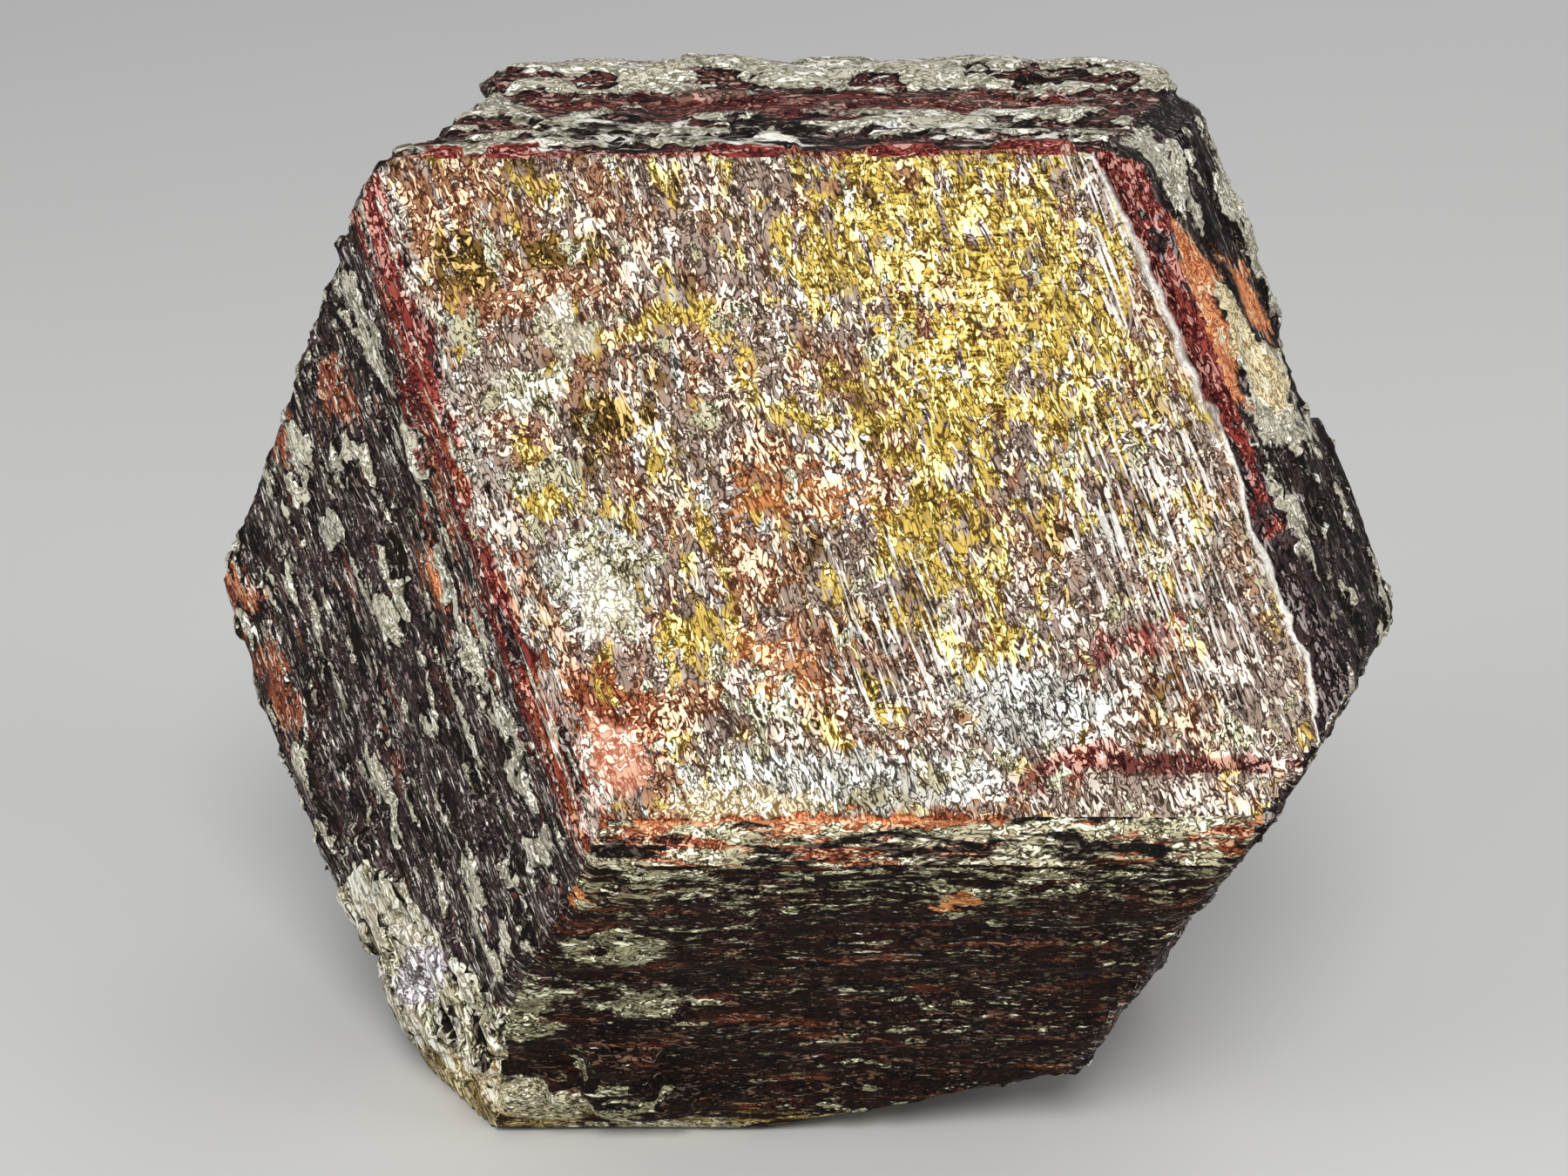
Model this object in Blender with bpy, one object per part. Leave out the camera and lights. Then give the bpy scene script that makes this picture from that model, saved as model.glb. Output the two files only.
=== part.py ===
"""A single loose garnet crystal, about 28 mm across.

The crystal is a rhombic dodecahedron that grew unevenly: its twelve rhombic faces stand at
different distances from its centre, each edge between two of them is worn to a narrow bevel,
and the faces carry the low steps that the crystal left as it grew. It rests on one face.

Directions are written as lattice directions (h, k, l) of the cubic crystal. One of its
threefold axes lies along X, and the resting face looks straight down.
"""

import math
import random

import bmesh
import bpy
from mathutils import Matrix, Vector, noise

# How far each rhombic face stands from the crystal's centre, in metres.
FRONT = 0.01386
TOP = 0.01386
RIGHT = 0.01386
LEFT = 0.01386
FRONT_FOOT = 0.01321
LEFT_BACK = 0.01325
RIGHT_FOOT = 0.01072
LEFT_FOOT = 0.01157
BACK_TOP = 0.00737
RIGHT_BACK = 0.00545
BACK_FOOT = 0.00885
BASE = 0.00935

# Where the crystal's centre stands in the part's frame, whose origin is on the floor, under
# the middle of the crystal.
CENTRE = Vector((0.00181, 0.00306, BASE))

# Lattice direction and distance of each rhombic face.
FACES = {
    "front": ((1, 1, 0), FRONT),
    "top": ((0, 1, -1), TOP),
    "right": ((1, 0, -1), RIGHT),
    "left": ((0, 1, 1), LEFT),
    "front_foot": ((1, 0, 1), FRONT_FOOT),
    "left_back": ((-1, 1, 0), LEFT_BACK),
    "right_foot": ((1, -1, 0), RIGHT_FOOT),
    "left_foot": ((-1, 0, 1), LEFT_FOOT),
    "back_top": ((-1, 0, -1), BACK_TOP),
    "right_back": ((0, -1, -1), RIGHT_BACK),
    "back_foot": ((-1, -1, 0), BACK_FOOT),
    "base": ((0, -1, 1), BASE),
}

# How far a worn edge is cut back from the sharp one.
EDGE_WEAR = 0.00012
WIDER_EDGES = {
    ("front", "left"): 0.00029,
    ("front", "right"): 0.00036,
    ("front", "top"): 0.00006,
    ("front", "front_foot"): 0.00030,
    ("top", "right"): 0.00026,
    ("left", "front_foot"): 0.00016,
}

# Two breaks that aren't crystal faces: a direction in the part's axes, and the distance.
CRUST_BREAK = ((-0.834, -0.512, -0.200), 0.01420)
TOE_BREAK = ((0.209, -0.269, -0.940), 0.01083)

# Growth steps: the lattice direction they run along, how far apart they are, how high they
# stand and how ragged they are. A straight run of a step's edge is RUN long.
LEVELS = {
    "front": {"along": (-1, 1, -1), "rag": 0.00010},
    "top": {"along": (1, -1, -1), "apart": 0.0015, "rise": 0.00012, "rag": 0.00022},
    "right": {"along": (-1, 1, -1), "apart": 0.0015, "rise": 0.00013, "rag": 0.00025},
    "left": {"along": (-1, 1, -1), "apart": 0.0013, "rise": 0.00014, "rag": 0.00022},
    "front_foot": {"along": (1, -1, -1), "apart": 0.0015, "rise": 0.00013, "rag": 0.00030},
    "left_back": {"along": (1, 1, -1), "apart": 0.0017, "rise": 0.00012, "rag": 0.00025},
    "right_foot": {"along": (1, 1, 1), "apart": 0.0016, "rise": 0.00010, "rag": 0.00025},
    "left_foot": {"along": (1, 1, 1), "apart": 0.0017, "rise": 0.00012, "rag": 0.00025},
    "back_top": {"along": (1, -1, -1), "apart": 0.0017, "rise": 0.00014, "rag": 0.00030},
    "right_back": {"along": (1, 1, -1), "apart": 0.0017, "rise": 0.00012, "rag": 0.00025},
    "back_foot": {"along": (1, -1, -1), "apart": 0.0018, "rise": 0.00014, "rag": 0.00030},
}
RUN = 0.0013
RISER = 0.00012
SEED = 211

# The front face is a plate that stops short of its left and right edges, with a ledge cut
# into its foot on the right.
PLATE_RIM = 0.00042
PLATE_RISE = 0.00011
LEDGE_UP = -0.0058
LEDGE_FROM_X = 0.0030
LEDGE_DROP = 0.00016

# The wedge missing from the back edge of the right face: its low and high ends along that
# edge, how deep it is at the high end, and how steeply its floor rises to the low end.
NOTCH_LOW = -0.0006
NOTCH_HIGH = 0.0027
NOTCH_DEPTH = 0.0011
NOTCH_SLOPE = math.radians(17)

# Crust that stands on the crystal. Along the far edge of the top it is a row of low lumps
# that run into one another; each one's length, depth and height lie between these limits.
LUMPS_FROM_X = -0.0069
LUMPS_TO_X = 0.0076
LUMP_APART = (0.0009, 0.0017)
LUMP_SIZE = ((0.0022, 0.0042), (0.0015, 0.0024), (0.0006, 0.0010))

# At the foot of the front, near its left end, and on the broken corner it is blocky chips.
FOOT_CHIPS = 9
CHIP_SIZE = ((0.0007, 0.0018), (0.0005, 0.0009), (0.0005, 0.0008))
CORNER_CHIPS = 20
CORNER_CHIP_SIZE = ((0.0009, 0.0024), (0.0006, 0.0013), (0.0006, 0.0010))
CHIPS_ABOVE_BASE = 0.0015

# Elsewhere it lies in patches of thin flakes. For each face: where the middle of a patch is
# along and across the face's growth steps, and the patch's length and width.
CRUST_PATCHES = {
    "left": (
        (0.0090, -0.0059, 0.0030, 0.0010),
        (0.0069, -0.0010, 0.0024, 0.0016),
        (0.0054, -0.0034, 0.0014, 0.0018),
        (0.0052, -0.0066, 0.0030, 0.0009),
        (0.0031, 0.0009, 0.0018, 0.0011),
        (0.0022, -0.0030, 0.0016, 0.0018),
        (0.0014, 0.0037, 0.0018, 0.0010),
        (-0.0011, 0.0001, 0.0022, 0.0010),
        (-0.0008, -0.0059, 0.0056, 0.0015),
        (-0.0046, -0.0024, 0.0024, 0.0010),
    ),
    "right": (
        (0.0060, 0.0054, 0.0028, 0.0014),
        (0.0050, 0.0034, 0.0030, 0.0012),
        (0.0043, 0.0071, 0.0020, 0.0010),
        (0.0016, 0.0059, 0.0028, 0.0022),
        (-0.0010, 0.0056, 0.0018, 0.0024),
        (-0.0030, 0.0068, 0.0024, 0.0014),
    ),
    "top": (
        (-0.0074, -0.0070, 0.0038, 0.0010),
        (-0.0030, -0.0068, 0.0046, 0.0009),
        (-0.0057, -0.0048, 0.0024, 0.0010),
        (0.0021, -0.0052, 0.0060, 0.0014),
        (0.0034, -0.0026, 0.0040, 0.0012),
    ),
    "front_foot": (
        (-0.0040, 0.0070, 0.0036, 0.0008),
        (0.0030, 0.0072, 0.0044, 0.0009),
        (-0.0053, 0.0044, 0.0028, 0.0011),
        (-0.0050, 0.0017, 0.0020, 0.0010),
        (0.0010, -0.0012, 0.0040, 0.0007),
    ),
    "left_back": (
        (0.0072, -0.0040, 0.0030, 0.0014),
        (0.0022, -0.0058, 0.0026, 0.0012),
        (0.0012, -0.0018, 0.0030, 0.0016),
        (-0.0024, -0.0038, 0.0022, 0.0012),
    ),
    "back_top": (
        (-0.0050, -0.0080, 0.0040, 0.0012),
        (0.0020, -0.0060, 0.0034, 0.0014),
        (-0.0060, -0.0020, 0.0030, 0.0014),
        (-0.0020, 0.0020, 0.0036, 0.0014),
    ),
    "right_back": (
        (0.0110, -0.0010, 0.0028, 0.0014),
        (0.0060, 0.0040, 0.0034, 0.0014),
        (0.0010, -0.0020, 0.0026, 0.0012),
        (-0.0040, 0.0050, 0.0030, 0.0014),
    ),
    "back_foot": (
        (-0.0050, 0.0000, 0.0030, 0.0012),
        (0.0000, 0.0025, 0.0030, 0.0012),
    ),
    "right_foot": (
        (0.0070, -0.0060, 0.0030, 0.0012),
        (0.0040, -0.0010, 0.0030, 0.0012),
    ),
    "left_foot": (
        (0.0040, 0.0040, 0.0030, 0.0012),
        (0.0010, -0.0005, 0.0026, 0.0012),
    ),
}
FLAKE_SIZE = ((0.0009, 0.0019), (0.0005, 0.0010), (0.0008, 0.0008))
FLAKE_RISE = (0.00006, 0.00015)
FLAKE_SIDES = 7
PATCH_AREA_PER_FLAKE = 2.4e-6


def lattice(h, k, l):
    """The unit vector, in the part's axes, of a lattice direction."""
    x = (h - k - l) / math.sqrt(3)
    y = (-2 * h - k - l) / math.sqrt(6)
    z = (k - l) / math.sqrt(2)
    return Vector((x, y, z)).normalized()


def clear_scene():
    for item in list(bpy.data.objects):
        bpy.data.objects.remove(item, do_unlink=True)


def cut_face(bm, normal, distance, number, layer):
    """Cuts off all that lies beyond a plane, and closes the cut with a face of that number."""
    everything = bm.verts[:] + bm.edges[:] + bm.faces[:]
    cut = bmesh.ops.bisect_plane(
        bm, geom=everything, dist=1e-7, plane_co=normal * distance, plane_no=normal,
        clear_outer=True,
    )
    edges = [item for item in cut["geom_cut"] if isinstance(item, bmesh.types.BMEdge)]
    if not edges:
        return
    filled = bmesh.ops.contextual_create(bm, geom=edges)
    for face in filled["faces"]:
        face[layer] = number


def worn_edges():
    """Normal and distance of the bevel along each edge between two rhombic faces."""
    names = list(FACES)
    for i, first in enumerate(names):
        for second in names[i + 1:]:
            a, b = lattice(*FACES[first][0]), lattice(*FACES[second][0])
            if abs(a.dot(b) - 0.5) > 0.01:
                continue
            middle = (a + b).normalized()
            sharp = (FACES[first][1] + FACES[second][1]) / math.sqrt(3)
            yield middle, sharp - WIDER_EDGES.get((first, second), EDGE_WEAR)


def crystal_form(bm, layer):
    """The crystal's plain form: a block cut down to the rhombic faces, bevels and breaks."""
    bmesh.ops.create_cube(bm, size=0.08)
    for face in bm.faces:
        face[layer] = -1
    for number, (direction, distance) in enumerate(FACES.values()):
        cut_face(bm, lattice(*direction), distance, number, layer)
    for normal, distance in worn_edges():
        cut_face(bm, normal, distance, -1, layer)
    for normal, distance in break_planes():
        cut_face(bm, normal, distance, -1, layer)
    bmesh.ops.recalc_face_normals(bm, faces=bm.faces)


def cut_line(bm, number, layer, normal, place):
    """Splits one crystal face along a line, given by a plane that crosses the face."""
    faces = [face for face in bm.faces if face[layer] == number]
    edges = {edge for face in faces for edge in face.edges}
    verts = {vert for face in faces for vert in face.verts}
    bmesh.ops.bisect_plane(
        bm, geom=list(verts) + list(edges) + faces, dist=2e-5, plane_co=normal * place,
        plane_no=normal,
    )


def span(bm, number, layer, axis):
    places = [v.co.dot(axis) for f in bm.faces if f[layer] == number for v in f.verts]
    return min(places), max(places)


def level_lines(low, high, apart, rng):
    """Where the growth steps of a face lie, at uneven distances."""
    lines = []
    place = low + apart * rng.uniform(0.4, 1.0)
    while place < high - 0.4 * apart:
        lines.append(place)
        place += apart * rng.uniform(0.55, 1.45)
    return lines


def level_heights(count, rise, rng):
    """The height of each level, stepping up and down and never far from the face."""
    heights = [0.0]
    for _ in range(count):
        step = rng.choice((-1, 1)) * rise * rng.uniform(0.6, 1.4)
        if abs(heights[-1] + step) > 1.5 * rise:
            step = -step
        heights.append(heights[-1] + step)
    return heights


def height_at(across, lines, heights):
    passed = sum(1 for place in lines if across > place + 0.5 * RISER)
    return heights[passed]


def plate_lines(low, high):
    """The two edges of the front plate, and the heights outside, on and outside it."""
    return [low + PLATE_RIM, high - PLATE_RIM - RISER], [-PLATE_RISE, 0.0, -PLATE_RISE]


def split_levels(bm, layer, name, rng):
    """Cuts the lines of a face's growth steps into it, and returns what sets its heights."""
    style = LEVELS[name]
    number = list(FACES).index(name)
    normal = lattice(*FACES[name][0])
    along = lattice(*style["along"])
    across = normal.cross(along)
    low, high = span(bm, number, layer, across)
    if name == "front":
        lines, heights = plate_lines(low, high)
    else:
        lines = level_lines(low, high, style["apart"], rng)
        heights = level_heights(len(lines), style["rise"], rng)
    for place in lines:
        cut_line(bm, number, layer, across, place)
        cut_line(bm, number, layer, across, place + RISER)
    low, high = span(bm, number, layer, along)
    place = low + RUN * rng.uniform(0.6, 1.0)
    while place < high - 0.4 * RUN:
        cut_line(bm, number, layer, along, place)
        place += RUN * rng.uniform(0.7, 1.3)
    return {
        "normal": normal,
        "along": along,
        "across": across,
        "lines": lines,
        "heights": heights,
        "rag": style["rag"],
    }


def split_ledge(bm, layer):
    """Cuts the outline of the front's ledge: two lines along X and two across them."""
    number = list(FACES).index("front")
    up = lattice(*FACES["front"][0]).cross(Vector((1, 0, 0)))
    for place in (LEDGE_UP, LEDGE_UP + RISER):
        cut_line(bm, number, layer, up, place)
    for place in (LEDGE_FROM_X, LEDGE_FROM_X + RISER):
        cut_line(bm, number, layer, Vector((1, 0, 0)), place)


def ledge_drop(point):
    up = lattice(*FACES["front"][0]).cross(Vector((1, 0, 0)))
    below = point.dot(up) < LEDGE_UP + 0.5 * RISER
    return -LEDGE_DROP if below and point.x > LEDGE_FROM_X + 0.5 * RISER else 0.0


def swell(point):
    """The slow unevenness of a worn face."""
    return 0.00007 * noise.noise(point / 0.0042)


def moved(vert, layer, levels):
    """Where a vertex goes once the faces that it lies on have their levels."""
    names = list(FACES)
    numbers = {face[layer] for face in vert.link_faces if face[layer] >= 0}
    resting = names.index("base")
    pulls = []
    for number in sorted(numbers - {resting}):
        face = levels[number]
        height = height_at(vert.co.dot(face["across"]), face["lines"], face["heights"])
        if names[number] == "front":
            height += ledge_drop(vert.co)
        pulls.append((face["normal"], height + swell(vert.co)))
    if resting in numbers:
        pulls.append((Vector((0, 0, -1)), 0.0))
    target = vert.co.copy()
    for _ in range(12):
        for normal, height in pulls:
            target += normal * (height - (target - vert.co).dot(normal))
    inside = len(numbers) == 1 and all(face[layer] in numbers for face in vert.link_faces)
    if inside and resting not in numbers:
        face = levels[numbers.pop()]
        place = vert.co.dot(face["along"])
        step = sum(1 for line in face["lines"] if vert.co.dot(face["across"]) > line - RISER)
        target += face["across"] * face["rag"] * noise.noise(Vector((place / 0.0011, 7.3 * step, 2)))
    return target


def grow_levels(bm, layer):
    """Cuts and raises every face's growth steps, and returns them."""
    rng = random.Random(SEED)
    names = list(FACES)
    levels = {names.index(name): split_levels(bm, layer, name, rng) for name in LEVELS}
    split_ledge(bm, layer)
    targets = {vert: moved(vert, layer, levels) for vert in bm.verts}
    for vert, target in targets.items():
        vert.co = target
    return levels


def new_object(name, bm, collection):
    mesh = bpy.data.meshes.new(name)
    bm.to_mesh(mesh)
    bm.free()
    item = bpy.data.objects.new(name, mesh)
    item.location = CENTRE
    collection.objects.link(item)
    return item


def as_block(bm, name, collection, centre, axes):
    """Makes a mesh that was built about the origin into an object that joins or cuts."""
    bm.transform(Matrix.Translation(centre) @ Matrix(axes).transposed().to_4x4())
    bmesh.ops.recalc_face_normals(bm, faces=bm.faces)
    item = new_object(name, bm, collection)
    item.hide_render = True
    item.display_type = "WIRE"


def rough_block(name, collection, centre, axes, size, rng):
    """A block whose corners are a little out of true."""
    bm = bmesh.new()
    for vert in bmesh.ops.create_cube(bm, size=1.0)["verts"]:
        vert.co = Vector(c * s * rng.uniform(0.8, 1.15) for c, s in zip(vert.co, size))
    as_block(bm, name, collection, centre, axes)


def lump(name, collection, centre, axes, size, seed):
    """A low rounded lump with an uneven surface."""
    bm = bmesh.new()
    for vert in bmesh.ops.create_icosphere(bm, subdivisions=2, radius=0.5)["verts"]:
        uneven = 1.0 + 0.32 * noise.noise(vert.co * 5.0 + Vector((seed, 0, 0)))
        vert.co = Vector(c * s * uneven for c, s in zip(vert.co, size))
    as_block(bm, name, collection, centre, axes)


def flake(name, collection, centre, axes, size, rng):
    """A thin flake with a ragged outline, a little smaller at its top."""
    bm = bmesh.new()
    outline = [rng.uniform(0.34, 0.56) for _ in range(FLAKE_SIDES)]
    made = bmesh.ops.create_cone(
        bm, cap_ends=True, segments=FLAKE_SIDES, radius1=1.0, radius2=0.88, depth=1.0
    )
    for vert in made["verts"]:
        turn = math.atan2(vert.co.y, vert.co.x) / math.tau
        reach = outline[round(turn * FLAKE_SIDES) % FLAKE_SIDES]
        vert.co = Vector((vert.co.x * reach * size[0], vert.co.y * reach * size[1], vert.co.z * size[2]))
    as_block(bm, name, collection, centre, axes)


def on_plane(normal, distance, steps, along, across):
    """A point on a plane, and the axes there: along its growth steps, across them, out."""
    steps = (steps - normal * steps.dot(normal)).normalized()
    sideways = normal.cross(steps)
    point = normal * distance + steps * along + sideways * across
    return point, (steps, sideways, normal)


def on_face(name, along, across):
    normal = lattice(*FACES[name][0])
    return on_plane(normal, FACES[name][1], lattice(*LEVELS[name]["along"]), along, across)


def tilted(axes, rng, most):
    """The same axes, turned a few degrees at random."""
    turn = Matrix.Rotation(rng.uniform(-most, most), 3, axes[1])
    turn = turn @ Matrix.Rotation(rng.uniform(-most, most), 3, axes[0])
    return tuple(turn @ axis for axis in axes)


def face_planes():
    return [(lattice(*way), out) for way, out in FACES.values()]


def break_planes():
    return [(Vector(way).normalized(), out) for way, out in (CRUST_BREAK, TOE_BREAK)]


def within(point, planes, margin):
    """Whether a point lies behind every one of the planes by a margin."""
    return all(point.dot(normal) < out - margin for normal, out in planes)


def make_top_lumps(collection, rng):
    place = LUMPS_FROM_X
    count = 0
    while place < LUMPS_TO_X:
        size = tuple(rng.uniform(*limits) for limits in LUMP_SIZE)
        across = -0.42 * size[1] + rng.uniform(-0.0003, 0.0003)
        centre, axes = on_face("top", place - 0.0007, across)
        lump(f"top_lump_{count + 1}", collection, centre, tilted(axes, rng, 0.08), size, 11.0 * count)
        place += rng.uniform(*LUMP_APART)
        count += 1


def make_chips(collection, rng):
    """Blocky chips at the foot of the front and on the broken corner."""
    for i in range(FOOT_CHIPS):
        place = (rng.uniform(-0.0072, -0.0046), rng.uniform(-0.0026, 0.0004))
        centre, axes = on_face("front_foot", *place)
        size = tuple(rng.uniform(*limits) for limits in CHIP_SIZE)
        rough_block(f"foot_chip_{i + 1}", collection, centre, axes, size, rng)
    normal, distance = break_planes()[0]
    steps = lattice(-1, 1, -1)
    made = 0
    while made < CORNER_CHIPS:
        place = (rng.uniform(-0.0070, 0.0010), rng.uniform(-0.0030, 0.0034))
        size = tuple(rng.uniform(*limits) for limits in CORNER_CHIP_SIZE)
        centre, axes = on_plane(normal, distance - 0.28 * size[2], steps, *place)
        if within(centre, face_planes(), 0.0003) and centre.z > CHIPS_ABOVE_BASE - BASE:
            made += 1
            rough_block(f"corner_chip_{made}", collection, centre, tilted(axes, rng, 0.16), size, rng)


def make_flakes(collection, levels, rng):
    """Thin flakes strewn over each patch, standing on the growth step that is there."""
    names = list(FACES)
    count = 0
    for name, patches in CRUST_PATCHES.items():
        face = levels[names.index(name)]
        for along, across, length, width in patches:
            for _ in range(max(2, round(length * width / PATCH_AREA_PER_FLAKE))):
                forward = along + 0.36 * length * rng.uniform(-1, 1)
                sideways = across + 0.36 * width * rng.uniform(-1, 1)
                size = tuple(rng.uniform(*limits) for limits in FLAKE_SIZE)
                centre, axes = on_face(name, forward, sideways)
                top = height_at(sideways, face["lines"], face["heights"]) + rng.uniform(*FLAKE_RISE)
                centre = centre + axes[2] * (top - 0.5 * size[2])
                count += 1
                if within(centre, face_planes() + break_planes(), 0.0001):
                    flake(f"flake_{count}", collection, centre, tilted(axes, rng, 0.03), size, rng)


def make_crust(collection, levels):
    """Crust lumps, chips and flakes, sunk into the faces that they stand on."""
    rng = random.Random(SEED + 1)
    make_top_lumps(collection, rng)
    make_chips(collection, rng)
    make_flakes(collection, levels, rng)


def make_notches(collection):
    """What is missing from the back edge of the right face: a wedge along that edge."""
    rng = random.Random(SEED + 2)
    edge_across = (0.5 * RIGHT - RIGHT_BACK) / math.cos(math.radians(30))
    centre, axes = on_face("right", 0.5 * (NOTCH_LOW + NOTCH_HIGH), edge_across)
    tilt = Matrix.Rotation(-NOTCH_SLOPE, 3, axes[1])
    size = (NOTCH_HIGH - NOTCH_LOW, 3 * NOTCH_DEPTH, NOTCH_DEPTH)
    rough_block("notch", collection, centre, tuple(tilt @ axis for axis in axes), size, rng)


def garnet_material():
    material = bpy.data.materials.new("garnet")
    material.use_nodes = True
    shader = material.node_tree.nodes["Principled BSDF"]
    shader.inputs["Base Color"].default_value = (0.12, 0.035, 0.03, 1.0)
    shader.inputs["Roughness"].default_value = 0.42
    shader.inputs["Metallic"].default_value = 0.0
    material.diffuse_color = (0.12, 0.035, 0.03, 1.0)
    return material


def combine(item, blocks, operation):
    modifier = item.modifiers.new(blocks.name, "BOOLEAN")
    modifier.operation = operation
    modifier.solver = "EXACT"
    modifier.operand_type = "COLLECTION"
    modifier.collection = blocks


def new_collection(name, parent):
    collection = bpy.data.collections.new(name)
    parent.children.link(collection)
    return collection


def build():
    clear_scene()
    root = bpy.context.scene.collection
    specimen = new_collection("garnet specimen", root)
    notches = new_collection("notches", root)
    crust = new_collection("crust", root)
    bm = bmesh.new()
    layer = bm.faces.layers.int.new("crystal face")
    crystal_form(bm, layer)
    levels = grow_levels(bm, layer)
    bmesh.ops.triangulate(bm, faces=bm.faces)
    crystal = new_object("garnet_crystal", bm, specimen)
    make_notches(notches)
    make_crust(crust, levels)
    combine(crystal, notches, "DIFFERENCE")
    combine(crystal, crust, "UNION")
    crystal.data.materials.append(garnet_material())


build()
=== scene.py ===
import math

import bpy
from mathutils import Matrix, Vector, noise


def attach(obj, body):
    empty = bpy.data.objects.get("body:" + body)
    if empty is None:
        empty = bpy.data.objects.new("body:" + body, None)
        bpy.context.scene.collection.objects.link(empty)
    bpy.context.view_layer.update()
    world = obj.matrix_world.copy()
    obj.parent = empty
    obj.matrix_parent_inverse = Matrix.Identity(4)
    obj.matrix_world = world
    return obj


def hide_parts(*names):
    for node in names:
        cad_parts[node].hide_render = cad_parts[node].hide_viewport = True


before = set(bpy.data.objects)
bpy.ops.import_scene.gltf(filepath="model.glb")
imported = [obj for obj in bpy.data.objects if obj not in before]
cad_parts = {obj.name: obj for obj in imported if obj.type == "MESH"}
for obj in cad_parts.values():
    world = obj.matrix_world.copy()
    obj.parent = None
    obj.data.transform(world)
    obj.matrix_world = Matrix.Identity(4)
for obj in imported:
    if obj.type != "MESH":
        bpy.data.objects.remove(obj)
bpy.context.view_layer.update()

mm = 0.001

# the crystal: a twelve-faced garnet, its faces named by where they look
crystal = {
    "node": "garnet_crystal",
    "centre": Vector((1.81, 3.06, 9.35)),   # mm, where the lines square to the faces meet
    "faces": {                              # lattice direction, mm from the centre
        "front": ((1, 1, 0), 13.86),
        "top": ((0, 1, -1), 13.86),
        "right": ((1, 0, -1), 13.86),
        "left": ((0, 1, 1), 13.86),
        "frontFoot": ((1, 0, 1), 13.21),
        "leftBack": ((-1, 1, 0), 13.25),
        "rightFoot": ((1, -1, 0), 10.72),
        "leftFoot": ((-1, 0, 1), 11.57),
        "backTop": ((-1, 0, -1), 7.37),
        "rightBack": ((0, -1, -1), 5.45),
        "backFoot": ((-1, -1, 0), 8.85),
        "base": ((0, -1, 1), 9.35),
    },
    "edges": {                              # the two faces, mm worn off between them
        "leftEdge": ("front", "left", 0.29),
        "rightEdge": ("front", "right", 0.36),
        "footEdge": ("front", "frontFoot", 0.30),
        "topRightEdge": ("top", "right", 0.26),
    },
    "breaks": {                             # broken corners: the way they look, mm from the centre
        "footBreak": (Vector((-0.834, -0.512, -0.200)), 14.20),
        "toeBreak": (Vector((0.209, -0.269, -0.940)), 10.83),
    },
    "breakTop": -2.4,       # mm along the left face's growth lines, where its broken corner begins
}
acrossX = (1, -1, -1)       # the lattice lines that the growth lines follow
downRight = (-1, 1, -1)
downLeft = (1, 1, -1)
intoDepth = (1, 1, 1)


def inRow(hkl):
    h, k, l = hkl           # the threefold line lies along X, a face lies flat on the table
    turned = ((h - k - l) / math.sqrt(3), (-2 * h - k - l) / math.sqrt(6), (k - l) / math.sqrt(2))
    return Vector(turned).normalized()


def allPlanes():
    planes = {}
    for name, (hkl, out) in crystal["faces"].items():
        planes[name] = (inRow(hkl), out)
    for name, (one, other, worn) in crystal["edges"].items():
        # two neighbours stand 60 degrees apart, so the sum of their directions is sqrt(3) long
        reach = (planes[one][1] + planes[other][1]) / math.sqrt(3)
        planes[name] = ((planes[one][0] + planes[other][0]).normalized(), reach - worn)
    for name, (way, out) in crystal["breaks"].items():
        planes[name] = (way.normalized(), out)
    return planes


planes = allPlanes()

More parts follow.
